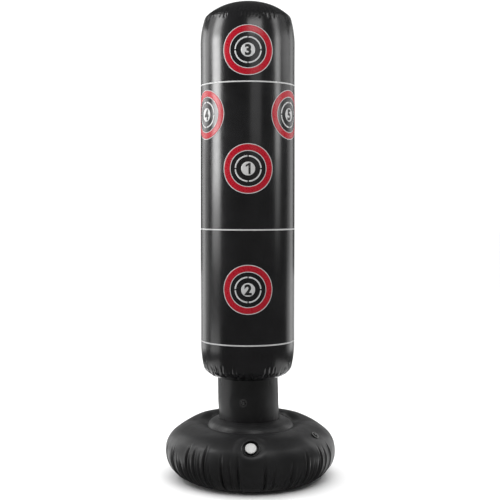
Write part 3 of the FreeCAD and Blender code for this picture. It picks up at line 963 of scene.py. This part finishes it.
def valve(name, owner, curve):
    """One air valve: flange on the skin, soft web, stem with rim and ear, plug and strap.

    curve is how sharply the skin curves, across the valve and up it.
    """
    place = NECK_VALVE_PLACE if name == "neck_valve" else BASE_VALVE_PLACE
    stem_body, plug_body = f"{name}_stem", f"{name}_plug"

    def settle(turn, along, r, z):
        """The flange follows the skin, which falls away round the valve."""
        side = (r * np.cos(turn)) ** 2 * curve[1] + (r * np.sin(turn)) ** 2 * curve[0]
        return -side / 2

    flange = turned_piece(
        f"{name}_flange_ring",
        [
            (14.5 * MM, -0.6 * MM),
            (14.0 * MM, 0.5 * MM),
            (13.2 * MM, 0.9 * MM, 0.8 * MM),
            (9.4 * MM, 0.9 * MM),
            (8.2 * MM, 0.2 * MM, 1.6 * MM),
        ],
        owner,
        VALVE_PLASTIC_AND_HIGHLIGHT,
        place,
        128,
        settle,
    )
    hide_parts(f"{name}_flange")
    web = turned_piece(
        f"{name}_soft_web",
        [(8.3 * MM, 0.4 * MM), (7.4 * MM, -3.5 * MM, -6 * MM), (5.1 * MM, -7 * MM, 4 * MM)],
        None,
        BASE_SKIN,
        place,
    )
    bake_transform(web)
    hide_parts(f"{name}_web")
    stem = turned_piece(
        f"{name}_stem_tube",
        [
            (5.0 * MM, -13 * MM),
            (5.0 * MM, 0.2 * MM),
            (6.2 * MM, 0.5 * MM),
            (6.2 * MM, 1.5 * MM, 0.6 * MM),
            (3.4 * MM, 1.5 * MM),
            (3.3 * MM, 1.2 * MM),
            (3.3 * MM, -13 * MM),
            (5.0 * MM, -13 * MM),
        ],
        stem_body,
        VALVE_PLASTIC_AND_HIGHLIGHT,
        place,
    )
    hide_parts(f"{name}_stem", f"{name}_flap")
    ear = bar_piece(
        f"{name}_strap_ear",
        (2.4 * MM, 2.4 * MM, 0.25 * MM),
        (0, -7.2 * MM, 1.25 * MM),
        stem_body,
        VALVE_PLASTIC_AND_HIGHLIGHT,
        place,
    )
    plug = turned_piece(
        f"{name}_plug_head",
        [
            (0, -2 * MM),
            (2.5 * MM, -2 * MM),
            (3.0 * MM, 1.7 * MM),
            (5.2 * MM, 1.75 * MM),
            (5.6 * MM, 2.3 * MM, 0.5 * MM),
            (4.6 * MM, 3.2 * MM, 0.9 * MM),
            (3.2 * MM, 3.1 * MM),
            (2.6 * MM, 2.7 * MM, -0.8 * MM),
            (0, 2.6 * MM),
        ],
        plug_body,
        VALVE_PLASTIC_AND_HIGHLIGHT,
        place,
    )
    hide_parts(f"{name}_plug")
    strap = bar_piece(
        f"{name}_plug_strap",
        (1.8 * MM, 2.8 * MM, 0.45 * MM),
        (0, -7.6 * MM, 2.25 * MM),
        plug_body,
        VALVE_PLASTIC_AND_HIGHLIGHT,
        place,
    )


# ---- Stage, lights and camera ----

FRONT_SECTOR = -0.3
BACKDROP, AMBIENT = 1.2, 0.09
LEFT, RIGHT = (-2.2, -0.40), (2.2, -0.58)
# Place, height aimed at, size, radiance and, where a grid narrows it, spread in degrees.
SOFTBOXES = {
    "left_strip_top": ((*LEFT, 2.55), 1.6, (0.98, 1.0), 8, 90),
    "left_strip_high": ((*LEFT, 1.73), 1.73, (0.98, 0.55), 21, 60),
    "left_strip_middle": ((*LEFT, 1.22), 1.22, (0.98, 0.47), 16, 60),
    "left_strip_low": ((*LEFT, 0.81), 0.81, (0.98, 0.35), 3.6),
    "left_wide": ((-1.9, 1.1, 1.7), 1.7, (1.0, 0.8), 3.1, 70),
    "left_tall": ((-1.9, 1.1, 1.0), 1.0, (1.0, 1.8), 1.0, 110),
    "left_floor": ((-2.3, 0, 0.42), 0.3, (1.4, 0.5), 0.3),
    "left_low": ((-2.2, -0.2, 0.12), 0.12, (1.2, 0.22), 2.4),
    "right_strip_top": ((*RIGHT, 2.55), 1.6, (0.60, 1.0), 4, 90),
    "right_strip_high": ((*RIGHT, 1.78), 1.78, (0.60, 0.55), 9, 60),
    "right_strip_middle": ((*RIGHT, 1.32), 1.32, (0.60, 0.37), 7, 60),
    "right_strip_low": ((*RIGHT, 0.95), 0.95, (0.60, 0.37), 1.7, 60),
    "right_wide": ((2.1, 0.50, 1.78), 1.78, (1.0, 0.7), 1.9, 60),
    "right_tall": ((1.9, 1.2, 1.0), 1.0, (1.0, 2.0), 0.75, 110),
    "right_floor": ((1.9, 1.2, 0.3), 0.2, (1.2, 0.5), 0.35),
    "back_left": ((-2.1, 2.0, 1.1), 0.9, (1.1, 2.4), 1.3),
    "back_right": ((2.1, 2.0, 1.1), 0.9, (1.1, 2.4), 0.9),
    "back_high": ((0, 3.0, 2.2), 0.9, (3.4, 1.2), 0.45),
    "back_low": ((0, 1.9, 0.30), 0.35, (3.6, 0.5), 0.5),
    "front_high": ((0.40, -1.25, 2.05), 1.4, (0.80, 0.5), 4.6),
    "front_tall": ((0.40, -1.25, 1.45), 1.3, (0.55, 0.6), 0.9),
    "high_left": ((-2.6, 0.3, 2.4), 0.2, (1.8, 1.8), 1.2),
    "high_right": ((2.6, 0.3, 2.4), 0.2, (1.6, 1.6), 0.5),
}


def stage():
    """A white background and floor; the floor shows in gloss only beside and behind the bag."""
    paint = Nodes("studio_floor", (0.93, 0.93, 0.93), 0.9)
    floors = (("studio_floor", 30, 0.3 * MM, False), ("near_floor", 1.25, 0.1 * MM, True))
    for name, reach, drop, mirrored in floors:
        mesh = bmesh.new()
        bmesh.ops.create_circle(mesh, cap_ends=True, cap_tris=True, segments=96, radius=reach)
        if mirrored:
            middles = [(face, face.calc_center_median()) for face in mesh.faces]
            front = [face for face, middle in middles if middle.y < FRONT_SECTOR * middle.length]
            bmesh.ops.delete(mesh, geom=front, context="FACES")
        data = bpy.data.meshes.new(name)
        mesh.to_mesh(data)
        mesh.free()
        floor = bpy.data.objects.new(name, data)
        floor.location.z = FLOOR - drop
        data.materials.append(paint.material)
        bpy.context.collection.objects.link(floor)
        floor.visible_glossy = mirrored

    world = bpy.data.worlds.new("studio")
    world.use_nodes = True
    bpy.context.scene.world = world
    tree = world.node_tree
    background = tree.nodes["Background"]
    white = tree.nodes.new("ShaderNodeBackground")
    white.inputs["Color"].default_value = (1, 1, 1, 1)
    white.inputs["Strength"].default_value = BACKDROP
    background.inputs["Color"].default_value = (1, 1, 1, 1)
    background.inputs["Strength"].default_value = AMBIENT
    mix = tree.nodes.new("ShaderNodeMixShader")
    path = tree.nodes.new("ShaderNodeLightPath")
    tree.links.new(path.outputs["Is Camera Ray"], mix.inputs["Fac"])
    tree.links.new(background.outputs[0], mix.inputs[1])
    tree.links.new(white.outputs[0], mix.inputs[2])
    tree.links.new(mix.outputs[0], tree.nodes["World Output"].inputs["Surface"])


def softbox(name, place, aim, size, radiance, spread=180):
    """A rectangular area light of a given radiance, facing a height on the bag's axis."""
    lamp = bpy.data.lights.new(name, "AREA")
    lamp.shape = "RECTANGLE"
    lamp.size, lamp.size_y = size
    lamp.energy = radiance * math.pi * size[0] * size[1]
    lamp.spread = math.radians(spread)
    if spread < 180:
        half = math.radians(spread) / 2
        lamp.energy *= 1 - half / math.tan(half)
    light = bpy.data.objects.new(name, lamp)
    light.location = place
    way = Vector((0, 0, aim)) - Vector(place)
    light.rotation_euler = way.to_track_quat("-Z", "Y").to_euler()
    light.visible_camera = False
    bpy.context.collection.objects.link(light)


def lights():
    for name, values in SOFTBOXES.items():
        softbox(name, *values)
    sun = bpy.data.lights.new("overhead", "SUN")
    sun.energy = 3.4
    sun.angle = math.radians(85)
    overhead = bpy.data.objects.new("overhead", sun)
    overhead.location = (0, 0, 4)
    overhead.visible_glossy = False
    bpy.context.collection.objects.link(overhead)


def camera():
    lens = bpy.data.cameras.new("camera")
    lens.sensor_width = 36
    lens.lens = 74.0
    seer = bpy.data.objects.new("camera", lens)
    seer.location = (0.0029, -3.4765, 0.935)
    tilt_down = 2.72
    seer.rotation_euler = (math.radians(90 - tilt_down), 0, 0)
    bpy.context.collection.objects.link(seer)
    bpy.context.scene.camera = seer
    bpy.context.scene.view_settings.view_transform = "Standard"


# ---- Making it ----

camera()
stage()
lights()
base_skin()
water()
base_floor_panel()
collar()
neck_sleeve()
column()
for name in ("stripe_upper", "stripe_middle", "stripe_lower"):
    stripe(name)
for number in TARGETS:
    target(number)
port()
port_cap()
valve("neck_valve", "neck", (1 / NECK_R, 0))
valve("base_valve", "base", (1 / 0.27, 1 / 0.12))
